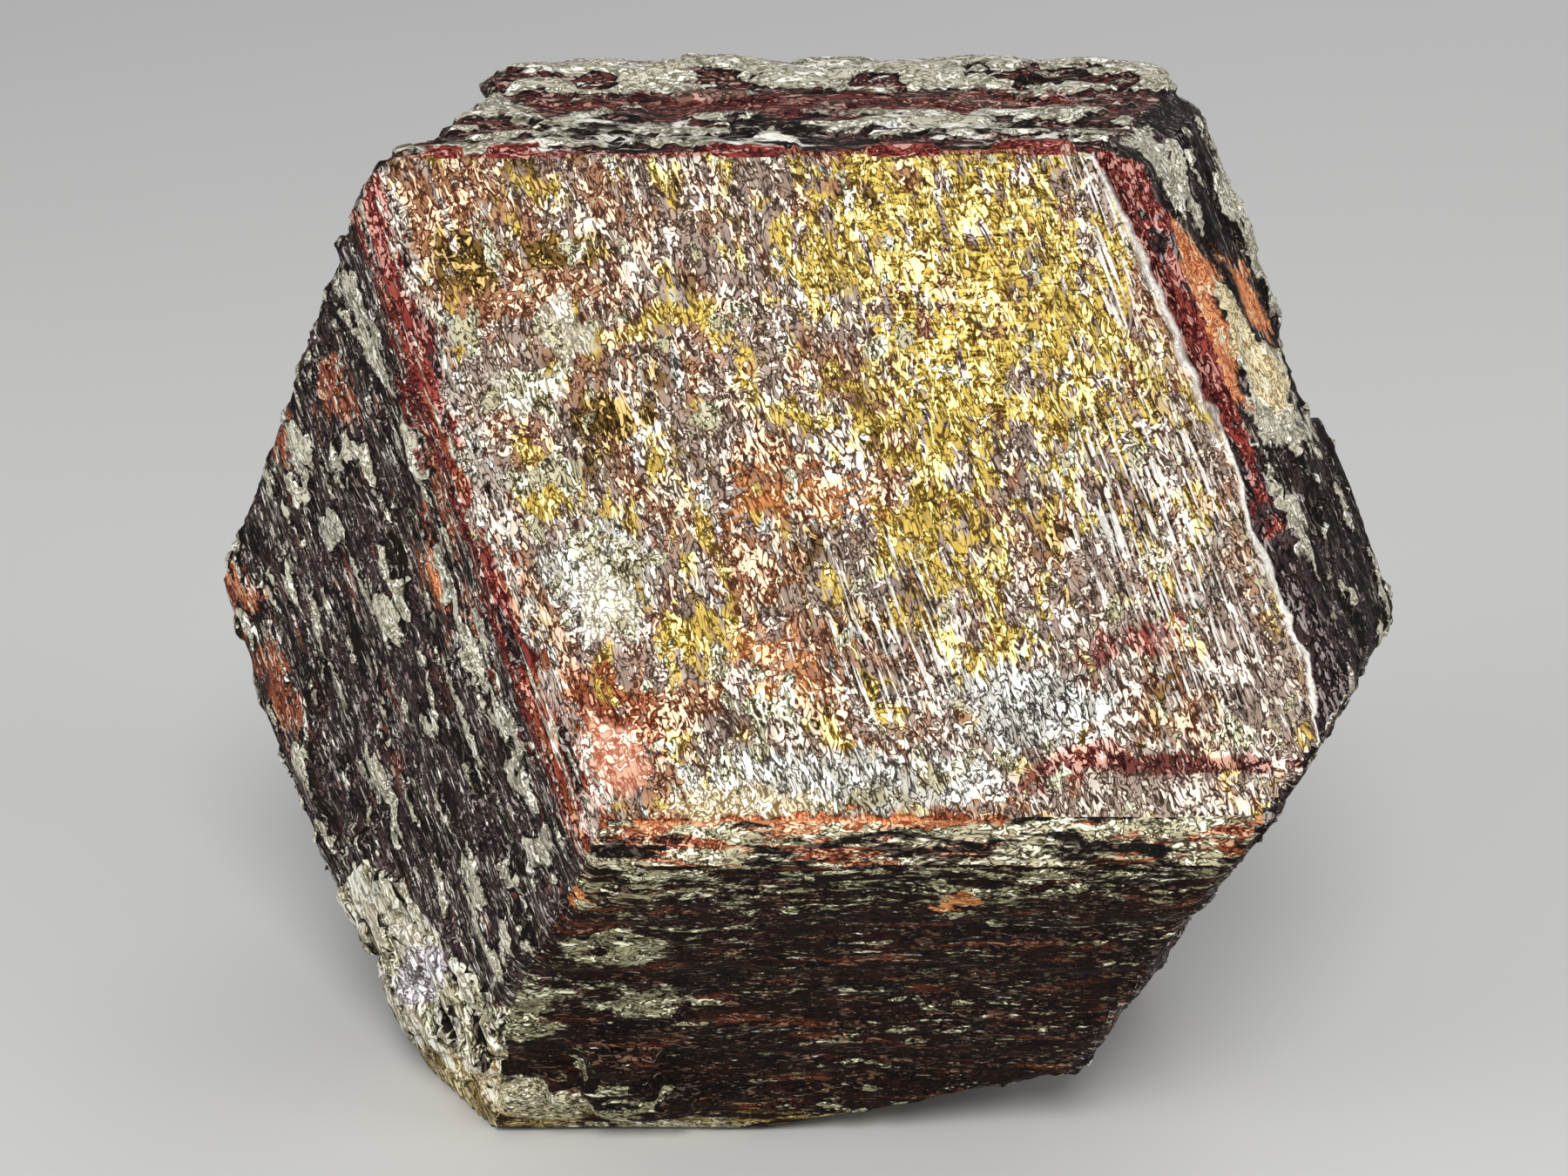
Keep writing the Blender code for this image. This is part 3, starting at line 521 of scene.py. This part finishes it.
# a look's layers lie over each other in turn, and each is one of four kinds:
# "patches": mm along and across the growth lines, half sizes in mm, degrees turned
# "strewn": length and breadth of its clouds in mm, and the cloud value where it starts
# "band": what lies within "wide" mm of a face's plane
# "crust": the value of the relief's own cloud where it starts
# "shift" picks other clouds, "turn" is degrees, and "within" keeps a layer inside another one's mask
hatched = [(-2.9, 0.1, 2.2, 1.9, 0), (-2.9, -5.7, 4.6, 1.7, 0), (4.6, -6.8, 3.5, 0.5, 0)]
upperRim = {"patches": [(3.2, -7.5, 4.6, 2.2, 0)], "ragged": 1.0}
frontLook = {
    **plainLook,
    "grain": (0.15, 2.4), "crumbly": 0.55, "clumps": 0.9, "clumped": 0.55,
    "tones": lavender,
    "rough": 0.85, "polish": 0.35, "metal": 0.3, "bump": 0.02, "gloss": 0.1,
    "layers": [
        {"tones": brownRed, "strewn": (2.4, 1.4, 0.48), "soft": 0.12, "strength": 0.85},
        {"tones": olive, "strewn": (1.3, 1.0, 0.56), "shift": 2.0, "soft": 0.10, "strength": 0.9},
        # gold strewn over the front: partly its own colour, partly painted sheen
        {"tones": goldAndSheen, "strewn": (1.6, 1.0, 0.53), "shift": 6.0, "soft": 0.10},
        {"tones": white, "strewn": (1.2, 0.5, 0.60), "shift": 21.0, "soft": 0.08},
        {"tones": brownRed, "ragged": 3.0,
         "patches": [(9.4, 6.4, 1.3, 1.3, -20), (7.2, 5.6, 0.9, 2.4, -20), (-0.5, 2.7, 1.0, 1.0, 0),
                     (-2.7, 5.6, 0.6, 1.9, 0), (1.6, 1.6, 1.0, 0.8, 0)]},
        {"tones": olive, "ragged": 2.5,
         "patches": [(8.1, 6.3, 0.9, 0.9, 0), (7.7, 4.4, 0.5, 1.1, -20), (3.8, 4.6, 0.8, 0.9, 0),
                     (6.3, -2.3, 0.9, 0.6, 0)]},
        # gold patches: partly the coating's own gold, partly painted sheen
        {"tones": goldAndSheen,
         "patches": [(5.6, -3.6, 2.4, 3.2, 0), (2.0, -2.8, 2.2, 2.6, 0), (2.5, -5.2, 3.6, 1.8, 0),
                     (-1.2, -1.2, 1.7, 1.6, 0), (-3.7, -1.8, 0.7, 0.7, 0), (-1.4, 4.4, 0.8, 0.8, 0),
                     (2.9, 6.4, 1.0, 0.7, 0)]},
        {"tones": goldAndSheen, "patches": [(5.0, -4.2, 2.2, 2.6, -20)], "ragged": 2.5},
        {"tones": olive, "strewn": (0.12, 0.7, 0.55), "turn": 20, "frayed": 0.08, "detail": 1.0,
         "strength": 0.8, "within": {"patches": [(4.4, -3.8, 3.4, 3.0, -20)]}},
        # painted sheen: dense bright gold streaks in the gold core, over the coating's own gold
        {"tones": brightGoldAndSheen, "strewn": (0.12, 0.7, 0.56), "turn": 20, "shift": 23.0, "frayed": 0.08,
         "detail": 1.0, "within": {"patches": [(4.6, -4.0, 3.4, 2.8, -20)]}},
        {"tones": lavender, "strewn": (1.1, 0.35, 0.57), "shift": 13.0},
        {"tones": brownRed, "strewn": (0.9, 0.60, 0.59), "shift": 17.0, "strength": 0.8},
        {"tones": orange, "strength": 0.5,
         "patches": [(0.7, 1.2, 0.5, 1.2, -20), (-2.5, 2.8, 1.0, 1.1, 0)]},
        {"tones": orange, "strewn": (0.13, 1.3, 0.54), "shift": 37.0, "frayed": 0.08, "detail": 1.0,
         "within": {"patches": [(0.8, 1.2, 0.8, 1.8, -20), (-2.5, 2.8, 0.8, 0.9, 0)], "ragged": 3.0}},
        {"tones": white, "patches": [(0.6, 5.9, 1.5, 1.3, 0), (-5.2, -1.8, 1.0, 2.0, -20)], "ragged": 2.0},
        {"tones": chalk, "patches": [(-5.3, 2.6, 0.75, 4.2, -20), (0.9, 6.6, 0.7, 0.6, 0)], "ragged": 2.0},
        {"tones": butter, "patches": [(-5.2, 4.4, 0.6, 2.0, -20)], "ragged": 2.0, "strength": 0.7},
        {"tones": bone, "ragged": 3.5, "strength": 0.8,
         "patches": [(5.9, 4.8, 0.9, 0.6, 0), (5.0, 6.1, 0.6, 0.7, 0), (0.2, 5.9, 1.1, 0.7, 0)]},
        {"tones": rust, "patches": [(-6.3, 3.6, 0.25, 1.8, -20), (-3.4, 7.6, 1.5, 0.5, 0)], "ragged": 1.5},
        {"tones": lavender, "ragged": 2.5,
         "patches": [(-5.9, -6.4, 2.4, 1.2, 0), (-7.9, -4.0, 0.7, 1.8, -20)]},
        {"tones": blackAndShadow, "strewn": (1.5, 0.11, 0.55), "frayed": 0.06, "detail": 1.0, "shift": 31.0,
         "strength": 0.7, "within": {"patches": hatched}},
        {"tones": glint, "strewn": (1.4, 0.08, 0.56), "frayed": 0.06, "detail": 1.0,
         "within": {"patches": hatched}},
        {"tones": rust, "ragged": 2.5,
         "patches": [(-2.6, 7.1, 1.5, 1.4, 0), (1.3, 7.9, 0.8, 0.4, 0), (-0.9, 8.0, 0.9, 0.4, 0)]},
        {"tones": pink, "patches": [(-3.2, 7.1, 1.1, 1.0, 0)], "ragged": 1.5},
        {"tones": maroon, "strength": 0.8,
         "patches": [(-4.6, -4.5, 0.4, 1.1, 0), (-6.6, -2.0, 0.35, 1.1, 0)]},
        {"tones": darkRed, "patches": [(-7.4, -4.4, 0.24, 2.6, -20)], "ragged": 2.5, "strength": 0.9},
        {"tones": cream, "crust": 0.74},
        {"tones": glint, "band": "rightEdge", "wide": 0.050, "ragged": 0.05},
        {"tones": glint, "band": "rightEdge", "wide": 0.092, "ragged": 0.035, "within": upperRim},
        {"tones": darkRed, "band": "rightEdge", "wide": 0.072, "ragged": 0.035, "within": upperRim},
        {"tones": blackAndShadow, "band": "rightEdge", "wide": 0.030, "ragged": 0.03},
        {"tones": aubergine, "band": "rightEdge", "wide": 0.03, "ragged": 0.05},
        {"tones": maroon, "band": "rightEdge", "wide": 0.03, "ragged": 0.05,
         "within": {"patches": [(6.5, -7.9, 2.6, 1.2, 0), (0.4, -8.1, 2.6, 1.1, 0)]}},
        {"tones": white, "band": "leftEdge", "wide": 0.16, "ragged": 0.5, "strength": 0.6},
        {"tones": maroon, "band": "leftEdge", "wide": 0.07, "ragged": 0.15},
        {"tones": rust, "strewn": (2.4, 0.22, 0.50), "shift": 11.0,
         "within": {"band": "leftEdge", "wide": 0.09}},
        {"tones": aubergine, "strewn": (2.2, 0.20, 0.53), "shift": 4.0,
         "within": {"band": "leftEdge", "wide": 0.08}},
        {"tones": lichen, "strewn": (1.8, 0.12, 0.58), "shift": 7.0,
         "within": {"band": "leftEdge", "wide": 0.12}},
        {"tones": maroon, "band": "top", "wide": 0.10, "ragged": 0.25, "strength": 0.8},
        {"tones": rust, "band": "footEdge", "wide": 0.08, "ragged": 0.2},
        {"tones": paleOrange, "band": "footEdge", "wide": 0.06, "ragged": 0.2,
         "within": {"patches": [(-5.6, 3.2, 2.0, 2.6, -20)]}},
    ],
}
footEdgeLook = {
    **plainLook,
    "grain": (0.14, 2.4), "crumbly": 0.55,
    "tones": cream,
    "polish": 0.2, "bump": 0.02,
    "layers": [
        {"tones": rust, "strewn": (1.8, 0.35, 0.52)},
        {"tones": blackAndShadow, "strewn": (1.8, 0.35, 0.50), "shift": 7.0},
        {"tones": paleOrange, "band": "front", "wide": 0.10, "ragged": 0.3, "strength": 0.7},
    ],
}
leftLook = {
    **plainLook,
    "sparse": 0.53,
    "layers": [
        {"tones": rust, "strewn": (1.4, 0.7, 0.56), "shift": 4.0, "soft": 0.12, "strength": 0.35},
        {"tones": blackAndShadow, "strewn": (1.6, 0.6, 0.50), "shift": 8.0, "soft": 0.10},
        {"tones": rust, "ragged": 3.0, "strength": 0.85,
         "patches": [(7.7, -0.3, 1.3, 0.8, 0), (5.0, 4.6, 1.3, 1.1, 0), (2.6, 4.1, 1.5, 0.7, 0),
                     (2.1, -5.3, 1.3, 0.9, 0), (0.7, -6.3, 1.8, 0.5, 0), (4.3, -6.9, 1.6, 0.5, 0),
                     (7.3, -3.7, 0.8, 0.9, 0)]},
        {"tones": paleOrange, "ragged": 3.0,
         "patches": [(5.2, 4.3, 0.9, 0.5, 0), (2.2, -5.4, 0.8, 0.4, 0)]},
        {"tones": greyCream, "strewn": (1.1, 0.09, 0.58), "shift": 7.0},
        # painted shadow: a near-black rim round the pale crust
        {"tones": blackAndShadow, "crust": 0.61, "frayed": 0.12},
        {"tones": lichen, "crust": 0.69, "frayed": 0.30},
        {"tones": chalk, "strewn": (0.60, 0.18, 0.58), "shift": 19.0,
         "within": {"strewn": (1.8, 1.1, 0.48)}},
        {"tones": darkRed, "band": "leftEdge", "wide": 0.20, "ragged": 0.4},
        {"tones": greyCream, "strewn": (2.2, 0.10, 0.56), "shift": 7.0,
         "within": {"band": "leftEdge", "wide": 1.4}},
    ],
}
rightLook = {
    **plainLook,
    "grain": (0.15, 2.4), "sparse": 0.54,
    "layers": [
        {"tones": blackAndShadow, "strewn": (1.6, 0.6, 0.46), "shift": 8.0},
        {"tones": greyCream, "strewn": (0.9, 0.12, 0.60), "shift": 7.0, "strength": 0.5},
        # painted shadow: a near-black rim round the pale crust
        {"tones": blackAndShadow, "crust": 0.62},
        {"tones": lichen, "crust": 0.70},
        {"tones": maroon, "patches": [(0.2, 8.2, 2.8, 1.2, 0)], "ragged": 2.0},
        {"tones": lichen, "ragged": 3.0,
         "patches": [(-0.6, 5.0, 0.8, 2.2, 0), (5.4, 6.0, 1.6, 0.8, 0), (6.8, 1.4, 1.6, 1.0, 0),
                     (4.0, 2.2, 1.6, 0.9, 0), (-3.2, 7.3, 1.0, 1.3, 0)]},
        {"tones": paleOrange, "ragged": 1.8,
         "patches": [(3.0, 6.9, 1.1, 1.6, 0), (1.4, 7.1, 2.0, 0.9, 0), (2.3, 4.2, 1.1, 0.7, 0)]},
        {"tones": butter, "patches": [(1.5, 5.8, 1.2, 1.0, 0), (0.3, 5.2, 1.2, 1.1, 0)], "ragged": 1.8},
    ],
}
topNear = {"patches": [(-3.0, -6.4, 7.0, 1.7, 0)]}
topLook = {
    **plainLook,
    "crumbly": 0.56, "sparse": 0.52,
    "tones": wine,
    "polish": 0.2,
    "layers": [
        {"tones": blackAndShadow, "strewn": (2.0, 0.7, 0.55), "shift": 8.0},
        {"tones": greyCream, "strewn": (1.4, 0.30, 0.60)},
        # painted shadow: a near-black rim round the pale crust
        {"tones": blackAndShadow, "crust": 0.54},
        {"tones": lichen, "crust": 0.60},
        {"tones": darkRed, "patches": [(-1.0, -3.4, 8.0, 1.1, 0)], "ragged": 2.0, "strength": 0.85},
        {"tones": lichen, "ragged": 3.5, "strength": 0.9,
         "patches": [(-6.0, -0.9, 3.2, 0.7, 0), (0.3, 0.0, 3.6, 0.8, 0), (5.4, -0.2, 2.6, 0.8, 0)]},
        {"tones": blackAndShadow, "strewn": (2.4, 0.80, 0.46), "shift": 31.0, "within": topNear},
        {"tones": glint, "strewn": (1.5, 0.42, 0.56), "frayed": 0.1, "shift": 17.0, "within": topNear},
        {"tones": maroon, "band": "front", "wide": 0.14, "ragged": 0.4},
    ],
}
# the foot's near-black ground is partly its own colour and partly painted shade, for a face that looks down
footLook = {
    **plainLook,
    "grain": (0.13, 2.6), "crumbly": 0.6, "sparse": 0.54,
    "tones": blackRed,
    "polish": 0.2, "bump": 0.025, "gloss": 0.12,
    "layers": [
        {"tones": rust, "strewn": (2.4, 0.45, 0.54), "shift": 5.0, "soft": 0.12, "strength": 0.35},
        {"tones": blackAndShadow, "strewn": (2.2, 0.8, 0.52), "shift": 9.0, "soft": 0.10},
        {"tones": greenCream, "strewn": (0.6, 0.08, 0.60), "within": {"strewn": (2.6, 0.8, 0.52)}},
        {"tones": chalk, "strewn": (0.35, 0.08, 0.66), "shift": 23.0},
        {"tones": orange,
         "patches": [(-6.5, 6.9, 0.35, 0.45, 0), (0.0, 8.3, 1.1, 0.2, 0), (1.9, 6.7, 0.5, 0.35, 0)]},
        # painted shadow: a near-black rim round the pale crust
        {"tones": blackAndShadow, "crust": 0.70},
        {"tones": greenCream, "crust": 0.77, "frayed": 0.45},
        {"tones": cream, "patches": [(-7.5, -1.9, 1.8, 1.0, 0), (-4.8, -2.8, 2.6, 0.4, 0)], "ragged": 2.5},
        {"tones": greenCream,
         "patches": [(-7.7, 2.2, 0.8, 1.4, 0), (-5.6, 4.6, 1.2, 0.5, 0), (-5.2, 2.3, 0.9, 0.5, 0)]},
        {"tones": greenCream, "strewn": (0.7, 0.13, 0.52), "shift": 13.0,
         "within": {"band": "footEdge", "wide": 0.6, "ragged": 2.0}},
        {"tones": ochre, "strewn": (1.4, 0.25, 0.53), "shift": 6.0,
         "within": {"band": "base", "wide": 0.9, "ragged": 1.0}},
    ],
}
breakLook = {
    **plainLook,
    "grain": (0.20, 3.4), "crumbly": 0.58, "sparse": 0.48, "clumps": 0.9,
    "tones": cream,
    "rough": 0.85, "polish": 0.2, "bump": 0.05,
    "layers": [
        {"tones": aubergine, "strewn": (1.6, 0.6, 0.55), "shift": 11.0, "soft": 0.08},
        {"tones": bone, "crust": 0.54},
        {"tones": bone, "patches": [(-2.6, -1.1, 1.0, 2.2, 0), (-5.6, 3.4, 1.4, 2.4, 0)], "ragged": 3.0},
        {"tones": butter, "patches": [(-7.2, -2.5, 1.1, 5.0, 0)], "ragged": 3.0},
        {"tones": blackAndShadow, "strewn": (2.0, 0.20, 0.57), "shift": 9.0},
        {"tones": paleLavender, "patches": [(-4.1, 0.0, 0.6, 3.0, 10)], "ragged": 2.0},
        {"tones": ochre, "band": "base", "wide": 1.1, "ragged": 1.8, "strength": 0.8},
    ],
}
backLook = {
    **plainLook,
    "sparse": 0.54,
    "layers": [
        {"tones": rust, "strewn": (1.8, 0.8, 0.55), "shift": 4.0, "soft": 0.12, "strength": 0.45},
        {"tones": blackAndShadow, "strewn": (1.6, 0.6, 0.52), "shift": 8.0, "soft": 0.10},
        {"tones": greyCream, "strewn": (1.2, 0.10, 0.59), "shift": 7.0},
        # painted shadow: a near-black rim round the pale crust
        {"tones": blackAndShadow, "crust": 0.60},
        {"tones": greyCream, "crust": 0.66},
    ],
}
finishes = {            # name: (the face that its growth lines follow, its look, the faces that wear it)
    "frontSheen": ("front", frontLook, ["front", "leftEdge", "rightEdge"]),
    "footEdgeCream": ("footEdge", footEdgeLook, ["footEdge"]),
    "leftStriped": ("left", leftLook, ["left"]),
    "rightPatched": ("right", rightLook, ["right", "topRightEdge"]),
    "topScaly": ("top", topLook, ["top"]),
    "footDark": ("frontFoot", footLook, ["frontFoot", "toeBreak", "base"]),
    "cornerBreak": ("footBreak", breakLook, ["footBreak"]),
    "backAcross": ("backTop", backLook, ["backTop", "backFoot"]),
    "backSlanting": ("leftBack", backLook, ["leftBack", "rightBack"]),
    "backDeep": ("rightFoot", backLook, ["rightFoot", "leftFoot"]),
}


def paintCrystal(piece):
    slotOf = {}
    for name, (face, look, wornBy) in finishes.items():
        piece.data.materials.append(paintFace(name, face, look))
        for each in wornBy:
            slotOf[each] = len(piece.data.materials) - 1
    for polygon in piece.data.polygons:
        polygon.material_index = slotOf[nearestPlane(polygon.center / mm - crystal["centre"])]


table = {"size": 1.2, "colour": (0.74, 0.73, 0.71), "clouded": 0.96, "clouds": 30.0, "rough": 0.8}


def makeTable():
    bpy.ops.object.select_all(action="DESELECT")
    bpy.ops.mesh.primitive_plane_add(size=table["size"], location=(0, 0, 0))
    floor = bpy.context.object
    floor.name = "table"
    finish = Finish("paleTable")
    darker = tuple(table["clouded"] * part for part in table["colour"])
    clouds = finish.clouds(finish.where(), table["clouds"])
    finish.join(finish.mixed(clouds, table["colour"], darker), finish.surface.inputs["Base Color"])
    finish.surface.inputs["Roughness"].default_value = table["rough"]
    floor.data.materials.append(finish.material)


lights = {          # direction from the crystal, metres away, metres across, watts
    "key": ((0.02, -0.755, 0.655), 0.26, 0.10, 0.39),
    "left": ((-0.80, -0.45, 0.35), 0.35, 0.20, 0.38),
    "right": ((0.85, -0.45, 0.40), 0.35, 0.20, 0.26),
    "back": ((0.35, 0.80, 0.60), 0.40, 0.25, 0.25),
}
world = {"colour": (0.92, 0.96, 1.0), "strength": 0.26}


def makeLights():
    centre = crystal["centre"] * mm
    for name, (way, away, across, watts) in lights.items():
        way = Vector(way).normalized()
        lamp = bpy.data.lights.new(name, "AREA")
        lamp.shape = "DISK"
        lamp.size = across
        lamp.energy = watts
        stand = bpy.data.objects.new(name, lamp)
        stand.location = centre + way * away
        stand.rotation_euler = way.to_track_quat("Z", "Y").to_euler()
        bpy.context.scene.collection.objects.link(stand)
    sky = bpy.data.worlds.new("studio")
    sky.use_nodes = True
    background = sky.node_tree.nodes["Background"]
    background.inputs["Color"].default_value = (*world["colour"], 1.0)
    background.inputs["Strength"].default_value = world["strength"]
    bpy.context.scene.world = sky
    bpy.context.scene.view_settings.view_transform = "Standard"


viewpoint = {
    "place": Vector((0.34, -80.63, 41.03)),     # mm
    "down": 20.3, "turn": 0.28, "roll": -0.32,  # degrees
    "lens": 81.0, "sensor": 36.0,               # mm
    "near": 0.002, "far": 10.0,                 # metres
}


def makeCamera():
    camera = bpy.data.objects.new("camera", bpy.data.cameras.new("camera"))
    camera.data.lens = viewpoint["lens"]
    camera.data.sensor_width = viewpoint["sensor"]
    camera.data.clip_start = viewpoint["near"]
    camera.data.clip_end = viewpoint["far"]
    turned = Matrix.Rotation(math.radians(viewpoint["turn"]), 4, "Z")
    tilted = Matrix.Rotation(math.radians(90 - viewpoint["down"]), 4, "X")
    rolled = Matrix.Rotation(math.radians(viewpoint["roll"]), 4, "Z")
    camera.matrix_world = Matrix.Translation(viewpoint["place"] * mm) @ turned @ tilted @ rolled
    bpy.context.scene.collection.objects.link(camera)
    bpy.context.scene.camera = camera


garnet = makeSkin()
print("skin:", len(garnet.data.polygons), "faces")
raiseRelief(garnet)
print("relief raised")
paintCrystal(garnet)
bpy.ops.object.select_all(action="DESELECT")
garnet.select_set(True)
bpy.context.view_layer.objects.active = garnet
bpy.ops.object.shade_smooth()
print("crystal painted:", len(garnet.data.materials), "finishes")
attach(garnet, "root")
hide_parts(crystal["node"])
makeTable()
makeLights()
makeCamera()
print("table, lights and camera set")
